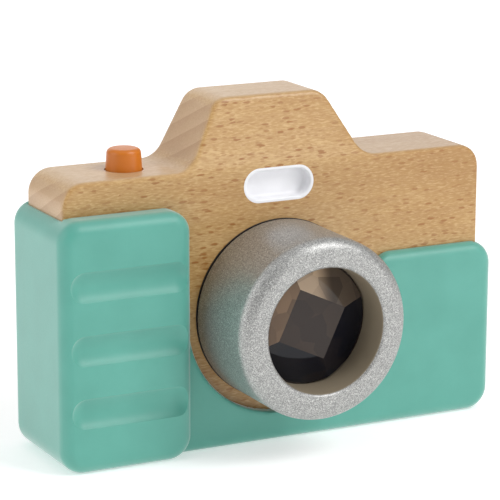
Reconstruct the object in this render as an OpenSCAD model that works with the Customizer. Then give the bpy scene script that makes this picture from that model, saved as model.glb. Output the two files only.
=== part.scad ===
// Wooden toy camera: a beech block in a stretched silicone sleeve. Its lens barrel turns, its
// shutter button is sprung, and a lamp and a sound board sit behind the flash window and the grip.
// Millimetres. X runs to the right as seen from the front, Y runs to the back and Z runs up.
// The origin is on the base, under the middle of the beech block.

/* [Beech block] */
// Width of the block
wood_w = 127; // [122:1:140]
// Depth of the block, front to back
wood_d = 24; // [24:0.5:32]
// Height of the block up to its shoulders
shoulder_h = 73.7; // [71:0.1:84]
// Rise of the hump above the shoulders
hump_h = 18.2; // [12:0.2:24]
// Width of the hump where its flanks would meet the shoulders
hump_base_w = 52.8; // [46:0.2:60]
// Width of the hump at its top, before its corners are rounded
hump_top_w = 32.4; // [22:0.2:38]
// How far the hump's front leans back at its top
hump_lean = 5.8; // [0:0.2:8]
// Radius of the shoulder corners seen from the front
shoulder_r = 6.5; // [3:0.5:9]
// Radius of the hump's top corners
hump_r = 6; // [2:0.5:8]
// Radius of the hollow where a flank runs into its shoulder
hump_hollow_r = 7; // [2:0.5:8]
// Rounding of the block's upright and top edges
wood_edge_r = 1; // [0.5:0.5:3]
// Solid beech left under the electronics pocket
pocket_floor = 6.5; // [4:0.5:9]

/* [Silicone sleeve] */
// Wall of the sleeve at the front, sides and back
sleeve_wall = 3.5; // [2.5:0.5:5]
// Floor of the sleeve under the block
sleeve_floor = 3.5; // [2.5:0.5:5]
// Width of the grip block
grip_w = 37.8; // [34:0.2:38]
// Height of the grip block
grip_h = 68.4; // [64:0.2:72]
// How far the grip stands out in front of the panel
grip_rise = 4.2; // [2.5:0.1:6]
// Radius of the grip's top corners seen from the front
grip_corner_r = 6; // [4:0.5:10]
// Rounding of the grip's front edges
grip_edge_r = 4; // [2:0.5:5]
// Height of the low panel right of the lens
panel_h = 49.4; // [44:0.2:56]
// Radius of the panel's corners seen from the front
panel_corner_r = 6.5; // [3:0.5:9]
// Rounding of the panel's front and back edges
panel_edge_r = 3; // [1:0.5:3.5]
// Radius where the panel's top runs into the lens window
panel_shoulder_r = 6; // [3:0.5:8]
// Beech left showing between the barrel and the sleeve
lens_window_margin = 3.6; // [2:0.2:4.5]
// Number of scooped grooves across the grip
groove_n = 3; // [1:1:3]
// Height of a groove on the grip's face
groove_h = 8.4; // [5:0.2:10]
// Depth of a groove
groove_depth = 1.8; // [1:0.1:2.4]
// Spacing of the grooves
groove_pitch = 17.1; // [14:0.1:19]
// Height of the lowest groove's middle
groove_low_z = 16.9; // [13:0.1:20]
// Plain grip face left of a groove
groove_end = 2.2; // [1.5:0.1:5]
// Plain grip face right of a groove
groove_end_right = 1; // [0.5:0.1:5]

/* [Lens] */
// Height of the lens axis above the base
lens_z = 37; // [34:0.5:39]
// Wall of the barrel round the lens
barrel_wall = 4.9; // [4.4:0.1:6]
// Length of the barrel
barrel_len = 27.2; // [22:0.1:34]
// Rounding of the barrel's front rim
barrel_rim_r = 4; // [2:0.5:5]
// Gap that the barrel turns on, in front of the bush
barrel_gap = 0.3; // [0.2:0.1:0.6]
// Diameter of the barrel's mouth
aperture_d = 34.4; // [28:0.2:36]
// Depth of the mouth down to the lens
aperture_depth = 11.5; // [7:0.5:14]
// Rounding of the mouth's front edge
aperture_edge_r = 1; // [0.5:0.1:1.5]
// Diameter of the lens
lens_d = 40; // [38:0.5:41]
// Thickness of the lens at its rim
lens_rim_t = 2; // [1.5:0.1:3]
// Height of the faceted crown
lens_crown_h = 3; // [2:0.1:4]
// Upright edge left below the crown's facets
lens_crown_step = 0.5; // [0.3:0.1:1]
// Width across the flats of the crown's middle facet
lens_table_w = 15; // [10:0.5:20]
// Number of facets round the crown
lens_facets = 4; // [4:1:12]
// Turn of the facets about the lens axis
lens_twist = 20; // [0:5:45]
// Play of the lens and its spacer in the barrel
lens_gap = 0.1; // [0.05:0.05:0.2]
// Wall of the spacer tube
spacer_wall = 2.5; // [1.5:0.1:4]
// Thickness of the hub's flange
hub_flange_t = 2.5; // [2:0.1:4]
// Barrel wall left round the hub's flange
hub_rim = 0.9; // [0.6:0.1:1.2]
// Diameter of the hub's spigot
spigot_d = 26; // [24:0.5:27]
// Wall of the spigot
spigot_wall = 3; // [2.6:0.1:4]
// Running clearance between spigot and bush
running_gap = 0.05; // [0.02:0.01:0.1]
// Wall of the bush
bush_wall = 2; // [1.5:0.1:3]
// Thickness of the bush's flange
bush_flange_t = 0.5; // [0.4:0.1:1.5]
// How far the bush's flange shows round the barrel
bush_flange_show = 0.1; // [0.1:0.1:0.8]
// Number of screws that hold the hub
hub_screw_n = 4; // [3:1:6]
// Depth of the bore in the back of the block
back_bore_depth = 8; // [7.5:0.1:9]
// Diameter of the bore in the back of the block
back_bore_d = 32; // [32:0.5:37]
// Thickness of the felt washer
washer_t = 0.5; // [0.3:0.1:0.8]
// Thickness of the retaining ring
retainer_t = 2; // [1.5:0.1:2.2]
// Play of the retaining ring in its bore
retainer_play = 0.8; // [0.5:0.1:1]
// Number of screws that hold the retaining ring
retainer_screw_n = 3; // [3:1:6]

/* [Eyepiece] */
// Diameter of the eyepiece flange
eyepiece_d = 36; // [36:0.5:42]
// Thickness of the eyepiece flange
eyepiece_flange_t = 1.5; // [1:0.1:2.5]
// Length of the eyepiece plug in the block
eyepiece_plug_len = 3.5; // [2.5:0.1:3.6]
// Diameter of the peephole
peephole_d = 13; // [9:0.5:13]
// Diameter of the clear disc
eye_disc_d = 18; // [16:0.5:22]
// Thickness of the clear disc
eye_disc_t = 1.8; // [1:0.1:2]
// Beech left showing round the eyepiece
eye_window_margin = 3; // [2:0.5:5]

/* [Shutter button] */
// Distance of the button's axis from the block's left end
button_inset = 23; // [22:0.5:25]
// Diameter of the button
button_d = 9.9; // [8:0.1:11]
// Play of the button in its hole
button_gap = 0.3; // [0.15:0.05:0.5]
// How far the button stands above the shoulder
button_stand = 5.8; // [4:0.2:9]
// Narrowing of the button from the shoulder to its top
button_taper = 0.8; // [0:0.1:1.5]
// Rounding of the button's top edge
button_round = 1.4; // [0.5:0.1:2.5]
// Travel of the button
button_travel = 2.5; // [1:0.1:3]
// Depth of the guiding hole under the shoulder
guide_len = 6; // [4:0.5:8]
// Diameter of the button's flange
button_flange_d = 13; // [12:0.2:14]
// Thickness of the button's flange
button_flange_t = 1.6; // [1:0.1:2.5]
// Diameter of the button's stem
stem_d = 5.6; // [4:0.2:6]
// Length of the return spring at rest
spring_len = 9.5; // [8.5:0.1:11]
// Outer diameter of the return spring
spring_d = 9.4; // [8.8:0.1:10]
// Wire of the return spring
spring_wire_d = 0.8; // [0.5:0.1:0.9]
// Turns of the return spring
spring_turns = 5; // [3:1:5]
// Width of the push switch
switch_w = 7; // [6:0.2:8]
// Height of the push switch
switch_h = 6; // [6:0.1:7]
// Diameter of the switch's plunger
plunger_d = 3.4; // [2:0.1:4]

/* [Flash] */
// Width of the flash window
flash_w = 21.3; // [14:0.1:26]
// Height of the flash window
flash_h = 9.6; // [9:0.1:11]
// Drop of the window's middle below the shoulder line
flash_drop = 5.6; // [5:0.1:8]
// Wall of the window's cup
flash_wall = 1; // [0.6:0.1:1.5]
// Depth of the cup's recess
flash_depth = 3.2; // [2:0.1:4]
// Thickness of the cup's floor
flash_floor_t = 1.5; // [1:0.1:2]
// Diameter of the lamp
led_d = 5; // [3:0.1:5]
// Length of the lamp's socket behind the cup
led_socket_len = 4; // [4:0.1:5]
// Diameter of the duct drilled for the lamp's wires
duct_d = 4; // [3.6:0.1:4.4]
// Diameter of a wire over its insulation
wire_d = 1; // [0.6:0.1:1.1]

/* [Electronics] */
// Width of the pocket in the back of the block
pocket_w = 26.5; // [26.5:0.5:29]
// How far the pocket's middle lies outboard of the button
pocket_shift = 4.5; // [3.5:0.5:5]
// Clearance of the tray in its pocket
tray_gap = 0.2; // [0.1:0.05:0.4]
// Wall of the tray
tray_wall = 1.4; // [1:0.1:1.6]
// Thickness of the back cover
cover_t = 2; // [1.6:0.1:2.5]
// Width of the cover's lip beside the pocket
cover_lip = 2.5; // [1.5:0.1:3]
// Width of the cover's lip above and below the pocket, where its screws are
cover_end_lip = 4.4; // [4.2:0.1:5]
// Clearance of covers and doors in their recesses
door_gap = 0.2; // [0.1:0.05:0.3]
// Width of the step that the battery door sits on
door_step = 1.5; // [1:0.1:2]
// Diameter of a button cell
cell_d = 11.6; // [9.5:0.1:12]
// Thickness of a button cell
cell_t = 5.4; // [4.4:0.1:5.6]
// Number of button cells
cell_n = 3; // [2:1:3]
// Room for the spring contact beside the cells
contact_room = 3.6; // [3:0.1:4]
// Sheet metal of the contacts
contact_t = 0.4; // [0.3:0.05:0.6]
// Thickness of the circuit board
board_t = 1.2; // [0.8:0.1:1.6]
// Diameter of the speaker
speaker_d = 20; // [15:0.5:22]
// Thickness of the speaker
speaker_t = 3; // [2:0.1:3.4]
// Diameter of the pan-head screws' shanks
screw_d = 1.8; // [1.6:0.1:2]

/* [Hidden] */
$fn = 72;
// Overshoot of each cut past the face that it breaks through
over = 1;
// Small clearance between pieces that lie side by side
snug = 0.1;
// Room left between electronic pieces
room = 0.6;

// Beech block
wood_left = -wood_w / 2;
wood_back = wood_d / 2;
shoulder_z = sleeve_floor + shoulder_h;
hump_z = shoulder_z + hump_h;
hump_bury = 8;
hump_slope = atan2(hump_h, (hump_base_w - hump_top_w) / 2);
hump_foot = hump_base_w / 2 + hump_hollow_r * tan(hump_slope / 2) + snug;

// Barrel round its lens
lens_bore_r = lens_d / 2 + lens_gap;
barrel_r = lens_bore_r + barrel_wall;

// Silicone sleeve
sleeve_side = wood_w / 2 + sleeve_wall;
sleeve_back = wood_back + sleeve_wall;
grip_right = grip_w - sleeve_side;
grip_front = sleeve_back + grip_rise;
lens_window_r = barrel_r + lens_window_margin;
window_left = max(lens_window_r, -grip_right);
groove_r = (pow(groove_h / 2, 2) + pow(groove_depth, 2)) / (2 * groove_depth);

// Lens stack, as distances ahead of the block's middle
bush_face = wood_back + bush_flange_t;
barrel_rear = bush_face + barrel_gap;
barrel_front = barrel_rear + barrel_len;
lens_seat = barrel_front - aperture_depth;
lens_rear = lens_seat - lens_rim_t;
hub_face = barrel_rear + hub_flange_t;
bush_rear = back_bore_depth - wood_back;
retainer_face = bush_rear - washer_t - snug;
hub_r = barrel_r - hub_rim;
hub_screw_r = (lens_bore_r + hub_r) / 2;
hub_screw_len = 7;
spigot_r = spigot_d / 2;
spigot_bore_r = spigot_r - spigot_wall;
bush_bore_r = spigot_r + running_gap;
bush_r = bush_bore_r + bush_wall;
bush_flange_r = barrel_r + bush_flange_show;
back_bore_r = back_bore_d / 2;
retainer_r = back_bore_r - retainer_play;
retainer_screw_r = spigot_r - spigot_wall / 2;
retainer_screw_d = 1.2;
retainer_screw_len = 6;

// Eyepiece, as places along Y
plug_end = wood_back - eyepiece_plug_len;
eye_window_r = eyepiece_d / 2 + eye_window_margin;

// Shutter button, from the shoulder down
button_x = wood_left + button_inset;
button_hole_r = button_d / 2 + button_gap;
button_top = shoulder_z + button_stand;
guide_end = shoulder_z - guide_len;
button_flange_top = guide_end - snug;
button_flange_low = button_flange_top - button_flange_t;
button_chamber_r = button_flange_d / 2 + room;
spring_seat = button_flange_low - spring_len;
spring_r = (spring_d - spring_wire_d) / 2;
plunger_proud = 0.7;
plunger_gap = 0.05;
plunger_hold = 2.5;
stem_clear = 1.5;
stem_end = spring_seat + plunger_proud;
switch_top = stem_end - button_travel - stem_clear;
plunger_low = switch_top - plunger_hold;

// Electronics pocket, tray and cover
pocket_x = button_x - pocket_shift;
pocket_x0 = pocket_x - pocket_w / 2;
pocket_x1 = pocket_x + pocket_w / 2;
pocket_z0 = sleeve_floor + pocket_floor;
pocket_z1 = spring_seat + tray_gap;
tray_floor = -switch_w / 2 - snug;
tray_front = tray_floor - tray_wall;
pocket_front = tray_front - tray_gap;
tray_x0 = pocket_x0 + tray_gap;
tray_x1 = pocket_x1 - tray_gap;
tray_z0 = pocket_z0 + tray_gap;
tray_z1 = spring_seat;
cover_in = wood_back - cover_t;
cover_corner_r = 2;
cover_screw_inset = 4;
cover_screw_len = 6;
back_window_r = 3;

// Cells, their bay and the battery door
cell_r = cell_d / 2;
cell_z = tray_z0 + tray_wall + snug + cell_r;
cell_y = cover_in - snug - cell_r;
cell_gap = 0.05;
cell_step = 0.3;
cell_cap_d = cell_d * 0.8;
cell_pitch = cell_t + cell_gap;
bay_w = cell_n * cell_pitch + contact_room;
bay_x0 = pocket_x - bay_w / 2;
bay_x1 = pocket_x + bay_w / 2;
bay_wall = 1.2;
boss_r = 2.4;
boss_x = 5;
boss_z = cell_z + cell_r + room + boss_r;
door_screw_len = 7;
divider_z = boss_z + boss_r + room;
divider_t = 1.2;
door_x0 = tray_x0 + tray_wall;
door_x1 = tray_x1 - tray_wall;
door_z0 = tray_z0 + tray_wall;
door_z1 = boss_z + boss_r + door_step;

// Circuit board and what it carries
board_face = switch_w / 2;
board_back = board_face + board_t;
board_x0 = tray_x0 + tray_wall + room;
board_x1 = tray_x1 - tray_wall - room;
board_z0 = divider_z + divider_t + room;
board_z1 = tray_z1 - tray_wall - room;
leg_w = 2;
leg_top = board_z0 + 4;
post_r = 1.6;
post_screw_d = 1.2;
post_screw_len = 5;
post_inset = 2.2;
post_rise = 3.4;
posts = [[board_x0 + post_inset, leg_top + post_rise],
         [board_x1 - post_inset, leg_top + post_rise],
         [board_x0 + post_inset, board_z1 - post_inset]];
leg_mark = [button_x, leg_top];
chip_size = [5, 1.5, 4];
chip_offset = [-7, 9];
chip_at = leg_mark + chip_offset;
cap_d = 5;
cap_len = 5.5;
cap_offset = [3, 8];
cap_at = leg_mark + cap_offset;
resistor_size = [3.2, 0.6, 1.6];
resistor_offset = [-8, 14];
resistor_at = leg_mark + resistor_offset;
speaker_lift = 2.6;
speaker_z = board_z0 + speaker_lift + speaker_d / 2;
speaker_hole_d = 1.6;
speaker_hole_r = 4;
sound_holes = 6;
rim_wall = 1.2;
rim_depth = 2;

// Flash window, lamp and the duct for its wires
flash_z = shoulder_z - flash_drop;
flash_back = flash_depth + flash_floor_t - wood_back;
socket_end = flash_back + led_socket_len;
led_r = led_d / 2;
led_gap = 0.05;
led_flange_t = 1;
led_flange_rim = 0.4;
led_flange_r = led_r + led_flange_rim;
socket_wall = 0.8;
duct_y = 0.5;
chamber_margin = 1.6;
chamber_r = led_r + chamber_margin;
chamber_end = duct_y + duct_d / 2;
duct_from = [0, duct_y, flash_z];
duct_inset = 2.2;
duct_to = [pocket_x1 - duct_inset, duct_y, pocket_z1 - room];
duct_run = duct_to - duct_from;
duct_dir = duct_run / norm(duct_run);
duct_side = [-duct_dir.z, 0, duct_dir.x];
lead_pitch = 1.27;

// Outline with rounded corners: each corner gives way to an arc that touches both of its edges
arc_steps = 8;
function unit(v) = v / norm(v);
module rounded_polygon(pts, radii) {
    n = len(pts);
    function at(i) = pts[(i + n) % n];
    function back(i) = unit(at(i - 1) - at(i));
    function ahead(i) = unit(at(i + 1) - at(i));
    function half(i) = acos(back(i) * ahead(i)) / 2;
    function middle(i) = at(i) + unit(back(i) + ahead(i)) * radii[i] / sin(half(i));
    function start(i) = at(i) + back(i) * radii[i] / tan(half(i)) - middle(i);
    function sweep(i) = sign(cross(ahead(i), back(i))) * (180 - 2 * half(i));
    function arc(i) = [for (k = [0 : arc_steps]) let (turn = sweep(i) * k / arc_steps, from = start(i))
        middle(i) + [from.x * cos(turn) - from.y * sin(turn), from.x * sin(turn) + from.y * cos(turn)]];
    polygon([for (i = [0 : n - 1]) each radii[i] == 0 ? [at(i)] : arc(i)]);
}

// Rectangle between two corners, with its corner radii from the lower left round
module rounded_rect(low, high, radii) {
    rounded_polygon([low, [high.x, low.y], high, [low.x, high.y]], radii);
}

// Outline with full round ends
module pill(w, h) {
    square([w - h, h], center = true);
    for (side = [-1, 1]) translate([side * (w - h) / 2, 0]) circle(h / 2);
}

// Outlines drawn in X and Z, in Y and Z and in X and Y, carried along the third axis
module along_y(from, to) translate([0, to, 0]) rotate([90, 0, 0]) linear_extrude(to - from) children();
module along_x(from, to) translate([from, 0, 0]) rotate([90, 0, 90]) linear_extrude(to - from) children();
module along_z(from, to) translate([0, 0, from]) linear_extrude(to - from) children();

// Box between two corners, and a bar along Y at a place in X and Z
module span_box(from, to) translate(from) cube(to - from);
module bar_y(at, r, from, to) translate([at.x, to, at.y]) rotate([90, 0, 0]) cylinder(r = r, h = to - from);

// Outline of radius and distance ahead, turned about the lens axis
module turned() translate([0, 0, lens_z]) rotate([90, 0, 0]) rotate_extrude() children();
module ring(inner_r, outer_r, from, to) {
    turned() translate([inner_r, from]) square([outer_r - inner_r, to - from]);
}

// Places spread evenly round the lens axis, at a distance ahead
module round_lens(n, r, distance, twist = 0) {
    for (i = [0 : n - 1]) translate([0, -distance, lens_z]) rotate([0, (i + 0.5) * 360 / n - twist, 0])
        translate([r, 0, 0]) children();
}

// Pan-head screw with its head to the back and its seat at the origin
function head_d(d) = d * 1.9;
function head_t(d) = d * 0.6;
module screw(d, length) {
    slot_l = d * 1.1;
    slot_w = d * 0.24;
    rotate([-90, 0, 0]) difference() {
        union() {
            cylinder(d = head_d(d), h = head_t(d));
            translate([0, 0, -length]) cylinder(d = d, h = length);
        }
        for (turn = [0, 90]) rotate(turn)
            translate([-slot_l / 2, -slot_w / 2, head_t(d) / 2]) cube([slot_l, slot_w, head_t(d)]);
    }
}

// Hole for such a screw: the shank's length ahead of the seat, and the head's room behind it
module screw_hole(d, length, head_room) {
    rotate([-90, 0, 0]) {
        translate([0, 0, -length]) cylinder(d = d, h = length + snug);
        if (head_room > 0) cylinder(d = head_d(d) + 2 * snug, h = head_room);
    }
}

// Tube swept along a list of points; the reference direction is never along the path
function heading(path, i) = unit(path[min(i + 1, len(path) - 1)] - path[max(i - 1, 0)]);
function swept(path, r, reference, sides) = [for (i = [0 : len(path) - 1])
    let (t = heading(path, i), n = unit(cross(t, reference)), b = cross(t, n))
    for (s = [0 : sides - 1]) path[i] + r * (cos(s * 360 / sides) * n + sin(s * 360 / sides) * b)];
module tube(path, r, reference, sides) {
    last = (len(path) - 1) * sides;
    polyhedron(swept(path, r, reference, sides), [
        [for (s = [0 : sides - 1]) s],
        for (row = [0 : sides : last - 1]) for (s = [0 : sides - 1]) let (next = (s + 1) % sides)
            each [[row + s, row + sides + s, row + sides + next],
                [row + s, row + sides + next, row + next]],
        [for (s = [sides - 1 : -1 : 0]) last + s]]);
}

// Helix about Z from one height to another, and the least gap between its turns
function helix(r, from, to, turns, steps) = [for (i = [0 : turns * steps])
    [r * cos(i * 360 / steps), r * sin(i * 360 / steps), from + (to - from) * i / (turns * steps)]];
function least_gap(path, d, steps) = min([for (i = [0 : len(path) - 1])
    for (j = [i + round(steps / 2) : 1 : len(path) - 1]) norm(path[i] - path[j])]) - d;

spring_path = helix(spring_r, spring_seat + spring_wire_d / 2,
    button_flange_low - spring_wire_d / 2, spring_turns, 12);
contact_wire_d = 0.6;
contact_turns = 2;
contact_coil_r = 3;
contact_path = helix(contact_coil_r, contact_t, contact_room - contact_t - contact_wire_d / 2,
    contact_turns, 12);
echo(least_gap_in_button_spring = least_gap(spring_path, spring_wire_d, 12));
echo(least_gap_in_battery_spring = least_gap(contact_path, contact_wire_d, 12));

// Block up to the shoulders, then the leaning hump
module beech_blank() {
    intersection() {
        along_y(-wood_d, wood_d)
            rounded_rect([wood_left, sleeve_floor], [-wood_left, shoulder_z],
                [0, 0, shoulder_r, shoulder_r]);
        beech_plan(sleeve_floor - over, shoulder_z + over);
        along_x(-wood_w, wood_w) rounded_rect([-wood_back, sleeve_floor], [wood_back, shoulder_z],
            [0, 0, wood_edge_r, wood_edge_r]);
    }
    intersection() {
        along_y(-wood_d, wood_d) rounded_polygon([
            [-hump_foot, shoulder_z - hump_bury], [hump_foot, shoulder_z - hump_bury],
            [hump_foot, shoulder_z], [hump_base_w / 2, shoulder_z], [hump_top_w / 2, hump_z],
            [-hump_top_w / 2, hump_z], [-hump_base_w / 2, shoulder_z], [-hump_foot, shoulder_z]],
            [0, 0, 0, hump_hollow_r, hump_r, hump_r, hump_hollow_r, 0]);
        along_x(-wood_w, wood_w) rounded_polygon([
            [-wood_back, shoulder_z - wood_d], [wood_back, shoulder_z - wood_d], [wood_back, hump_z],
            [hump_lean - wood_back, hump_z], [-wood_back, shoulder_z]],
            [0, 0, wood_edge_r, wood_edge_r, 0]);
    }
}

// The block's plan, which the sleeve stretches over
module beech_plan(from, to) {
    along_z(from, to) rounded_rect([wood_left, -wood_back], [-wood_left, wood_back],
        [wood_edge_r, wood_edge_r, wood_edge_r, wood_edge_r]);
}

// Where the cover's four screws go, in X and Z
module at_cover_screws() {
    for (side = [-1, 1]) for (z = [pocket_z0 - cover_end_lip / 2, pocket_z1 + cover_end_lip / 2])
        translate([pocket_x + side * (pocket_w / 2 - cover_screw_inset),
            wood_back - head_t(screw_d) - snug, z]) children();
}

module wood_body() {
    color("burlywood") difference() {
        beech_blank();
        bar_y([0, lens_z], bush_r, -wood_back - over, wood_back + over);
        bar_y([0, lens_z], back_bore_r, -bush_rear, wood_back + over);
        translate([button_x, 0, guide_end]) cylinder(r = button_hole_r, h = guide_len + over);
        translate([button_x, 0, pocket_z1 - over])
            cylinder(r = button_chamber_r, h = guide_end - pocket_z1 + over);
        span_box([pocket_x0, pocket_front, pocket_z0], [pocket_x1, wood_back + over, pocket_z1]);
        cover_outline(door_gap, cover_in, wood_back + over);
        at_cover_screws() screw_hole(screw_d, cover_screw_len, 0);
        translate([0, 0, flash_z]) along_y(-wood_back - over, socket_end) pill(flash_w, flash_h);
        bar_y([0, flash_z], chamber_r, -wood_back, chamber_end);
        translate(duct_from) rotate([0, atan2(duct_run.x, duct_run.z), 0])
            cylinder(d = duct_d, h = norm(duct_run));
    }
}

// Opening with a round foot and open top, in X and Z
module open_round(r, left, top) {
    translate([0, lens_z]) circle(r);
    polygon([[-r, lens_z], [r, lens_z], [r, top], [-left, top], [-left, panel_h]]);
}

// Waste outside a round shoulder whose square corner is given; the sleeve lies to the given side
module shoulder_waste(corner, r, side) {
    difference() {
        translate([corner.x + (side - 1) * r / 2, corner.y - r]) square([r, r + over]);
        translate([corner.x + side * r, corner.y - r]) circle(r);
    }
}

module groove(z) {
    left = groove_end + groove_h / 2 - sleeve_side;
    right = grip_right - groove_end_right - groove_h / 2;
    translate([0, groove_depth - grip_front - groove_r, z]) {
        translate([left, 0, 0]) rotate([0, 90, 0]) cylinder(r = groove_r, h = right - left);
        for (x = [left, right]) translate([x, 0, 0]) sphere(groove_r);
    }
}

module silicone_sleeve() {
    color("mediumaquamarine") difference() {
        union() {
            intersection() {
                along_y(-grip_front, grip_front) rounded_rect([-sleeve_side, 0], [sleeve_side, panel_h],
                    [panel_corner_r, panel_corner_r, panel_corner_r, panel_corner_r]);
                along_z(-over, grip_h) rounded_rect([-sleeve_side, -sleeve_back],
                    [sleeve_side, sleeve_back], [grip_edge_r, grip_edge_r, grip_edge_r, grip_edge_r]);
                along_x(-wood_w, wood_w) rounded_rect([-sleeve_back, 0], [sleeve_back, panel_h],
                    [panel_edge_r, panel_edge_r, panel_edge_r, panel_edge_r]);
            }
            intersection() {
                along_y(-wood_w, wood_w) rounded_rect([-sleeve_side, 0], [grip_right, grip_h],
                    [panel_corner_r, panel_corner_r, grip_corner_r, grip_corner_r]);
                along_z(-over, grip_h + over) rounded_rect([-sleeve_side, -grip_front],
                    [grip_right, sleeve_back], [grip_edge_r, grip_edge_r, grip_edge_r, grip_edge_r]);
                along_x(-wood_w, wood_w) rounded_rect([-grip_front, 0], [sleeve_back, grip_h],
                    [grip_edge_r, panel_edge_r, panel_edge_r, grip_edge_r]);
            }
            intersection() {
                along_y(0, grip_front)
                    rounded_rect([-sleeve_side, 0], [0, grip_h], [panel_corner_r, 0, 0, grip_corner_r]);
                along_z(-over, grip_h + over) rounded_rect([-sleeve_side, -sleeve_back],
                    [sleeve_side, sleeve_back], [grip_edge_r, grip_edge_r, grip_edge_r, grip_edge_r]);
                along_x(-wood_w, wood_w) rounded_rect([-sleeve_back, 0], [sleeve_back, grip_h],
                    [panel_edge_r, panel_edge_r, panel_edge_r, panel_edge_r]);
            }
        }
        beech_plan(sleeve_floor, hump_z);
        along_y(-grip_front - over, -wood_back + over) {
            open_round(lens_window_r, window_left, hump_z);
            shoulder_waste([lens_window_r, panel_h], panel_shoulder_r, 1);
        }
        along_y(wood_back - over, sleeve_back + over) {
            open_round(eye_window_r, eye_window_r, hump_z);
            shoulder_waste([eye_window_r, panel_h], panel_shoulder_r, 1);
            shoulder_waste([-eye_window_r, grip_h], grip_corner_r, -1);
            rounded_rect([door_x0 - 2 * room, door_z0 - 2 * room],
                [door_x1 + 2 * room, speaker_z + speaker_d / 2],
                [back_window_r, back_window_r, back_window_r, back_window_r]);
        }
        for (i = [0 : groove_n - 1]) groove(groove_low_z + i * groove_pitch);
    }
}

module shutter_button() {
    r = button_d / 2;
    color("darkorange") translate([button_x, 0, 0]) rotate_extrude() rounded_polygon([
        [0, stem_end], [stem_d / 2, stem_end], [stem_d / 2, button_flange_low],
        [button_flange_d / 2, button_flange_low], [button_flange_d / 2, button_flange_top],
        [r, button_flange_top], [r, shoulder_z], [r - button_taper / 2, button_top], [0, button_top]],
        [0, 0, 0, 0, 0, 0, 0, button_round, 0]);
}

module button_spring() {
    color("silver") translate([button_x, 0, 0]) tube(spring_path, spring_wire_d / 2, [0, 0, 1], 6);
}

module push_switch() {
    w = switch_w / 2;
    color("dimgray") difference() {
        span_box([button_x - w, -w, switch_top - switch_h], [button_x + w, w, switch_top]);
        translate([button_x, 0, plunger_low - button_travel - room / 2])
            cylinder(r = plunger_d / 2 + plunger_gap, h = switch_h);
    }
}

module switch_plunger() {
    color("whitesmoke") translate([button_x, 0, plunger_low])
        cylinder(d = plunger_d, h = stem_end - plunger_low);
}

module lens_barrel() {
    mouth_r = aperture_d / 2;
    color("silver") difference() {
        turned() rounded_polygon([
            [hub_r + lens_gap, barrel_rear], [barrel_r, barrel_rear], [barrel_r, barrel_front],
            [mouth_r, barrel_front], [mouth_r, lens_seat], [lens_bore_r, lens_seat],
            [lens_bore_r, hub_face], [hub_r + lens_gap, hub_face]],
            [0, 0, barrel_rim_r, aperture_edge_r, 0, 0, 0, 0]);
        round_lens(hub_screw_n, hub_screw_r, hub_face) screw_hole(screw_d, hub_screw_len, 0);
    }
}

// Disc with a crown cut to flat facets round a middle one
module prism_lens() {
    crown_r = aperture_d / 2 - room;
    slope = atan2(lens_crown_h - lens_crown_step, crown_r - lens_table_w / 2);
    color("sienna") {
        ring(0, lens_d / 2, lens_rear, lens_seat);
        difference() {
            ring(0, crown_r, lens_seat - snug, lens_seat + lens_crown_h);
            round_lens(lens_facets, lens_table_w / 2, lens_seat + lens_crown_h, lens_twist)
                rotate([0, 0, slope - 90]) translate([0, -lens_d, -lens_d]) cube(lens_d * 2);
        }
    }
}

module lens_spacer() {
    color("black") ring(lens_d / 2 - spacer_wall, lens_d / 2, hub_face, lens_rear);
}

module barrel_hub() {
    color("dimgray") difference() {
        union() {
            ring(spigot_bore_r, hub_r, barrel_rear, hub_face);
            ring(spigot_bore_r, spigot_r, retainer_face, hub_face);
        }
        round_lens(hub_screw_n, hub_screw_r, barrel_rear + head_t(screw_d))
            screw_hole(screw_d, hub_flange_t, head_t(screw_d) + over);
        round_lens(retainer_screw_n, retainer_screw_r, retainer_face)
            screw_hole(retainer_screw_d, retainer_screw_len - retainer_t, 0);
    }
}

module hub_screws() {
    seat = barrel_rear + head_t(screw_d);
    color("silver") round_lens(hub_screw_n, hub_screw_r, seat)
        screw(screw_d, hub_face - seat + hub_screw_len);
}

module bearing_bush() {
    color("black") {
        ring(bush_bore_r, bush_flange_r, wood_back, bush_face);
        ring(bush_bore_r, bush_r, bush_rear, bush_face);
    }
}

module friction_washer() {
    color("gray") ring(spigot_r + room, back_bore_r - room, bush_rear - washer_t, bush_rear);
}

module barrel_retainer() {
    color("dimgray") difference() {
        ring(spigot_bore_r, retainer_r, retainer_face - retainer_t, retainer_face);
        round_lens(retainer_screw_n, retainer_screw_r, retainer_face - retainer_t)
            screw_hole(retainer_screw_d, retainer_t + over, 0);
    }
}

module retainer_screws() {
    color("silver") round_lens(retainer_screw_n, retainer_screw_r, retainer_face - retainer_t)
        screw(retainer_screw_d, retainer_screw_len);
}

module eyepiece_ring() {
    disc_r = eye_disc_d / 2;
    hole_r = peephole_d / 2;
    face = -wood_back - eyepiece_flange_t;
    color("black") turned() rounded_polygon([
        [hole_r, face], [eyepiece_d / 2, face], [eyepiece_d / 2, -wood_back], [back_bore_r, -wood_back],
        [back_bore_r, -plug_end], [disc_r, -plug_end], [disc_r, -plug_end - eye_disc_t],
        [hole_r, -plug_end - eye_disc_t]],
        [eyepiece_flange_t / 2, eyepiece_flange_t / 2, 0, 0, 0, 0, 0, 0]);
}

module eyepiece_window() {
    color("lightcyan") ring(0, eye_disc_d / 2, -plug_end - eye_disc_t, -plug_end);
}

module flash_window() {
    color("ghostwhite") translate([0, 0, flash_z]) difference() {
        union() {
            along_y(-wood_back, flash_back) pill(flash_w, flash_h);
            bar_y([0, 0], led_r + led_gap + socket_wall, flash_back - snug, socket_end);
        }
        along_y(-wood_back - over, flash_depth - wood_back)
            pill(flash_w - 2 * flash_wall, flash_h - 2 * flash_wall);
        bar_y([0, 0], led_r + led_gap, flash_back, socket_end + over);
    }
}

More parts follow.
